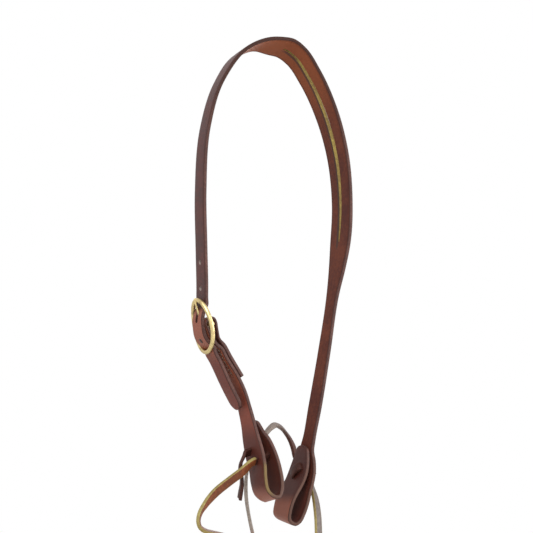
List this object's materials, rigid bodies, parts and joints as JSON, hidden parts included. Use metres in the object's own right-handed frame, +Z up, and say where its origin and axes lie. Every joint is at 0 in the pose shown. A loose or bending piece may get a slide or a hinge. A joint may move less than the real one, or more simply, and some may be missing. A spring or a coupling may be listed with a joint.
{
  "type": "western headstall",
  "caption": "Split-ear headstall: leather crown strap with an ear slit, brass cart buckle on the near cheek, looped bit ends closed by flat laces.",
  "frame": {"origin": "middle of the level underside of the crown, where it lies on the poll", "axes": "+Z up, +X towards the off side with the ear slit, +Y forward"},
  "size_m": [0.166, 0.0733, 0.5599],
  "materials": {
    "oiled_leather": "oiled, semi-gloss",
    "lace_leather": "waxed latigo, satin",
    "cast_brass": "polished"
  },
  "bodies": {
    "headpiece": {"crown_strap": "oiled_leather", "buckle_frame": "cast_brass", "off_tie": "lace_leather", "off_tail": "lace_leather", "off_over_tail": "lace_leather"},
    "near_cheek": {"near_cheek_strap": "oiled_leather", "near_tie": "lace_leather", "near_long_tail": "lace_leather", "near_short_tail": "lace_leather"},
    "tongue": {"buckle_tongue": "cast_brass"}
  },
  "joints": [
    {"name": "cheek_swing", "type": "hinge", "parent": "headpiece", "child": "near_cheek", "pos_m": [-0.0812, 0, -0.2897], "axis": [0.0853, -0.9963, 0.0126], "range_deg": [0, 8]},
    {"name": "tongue_lift", "type": "hinge", "parent": "headpiece", "child": "tongue", "pos_m": [-0.0812, 0, -0.2897], "axis": [0.0853, -0.9963, 0.0126], "range_deg": [0, 6]}
  ]
}
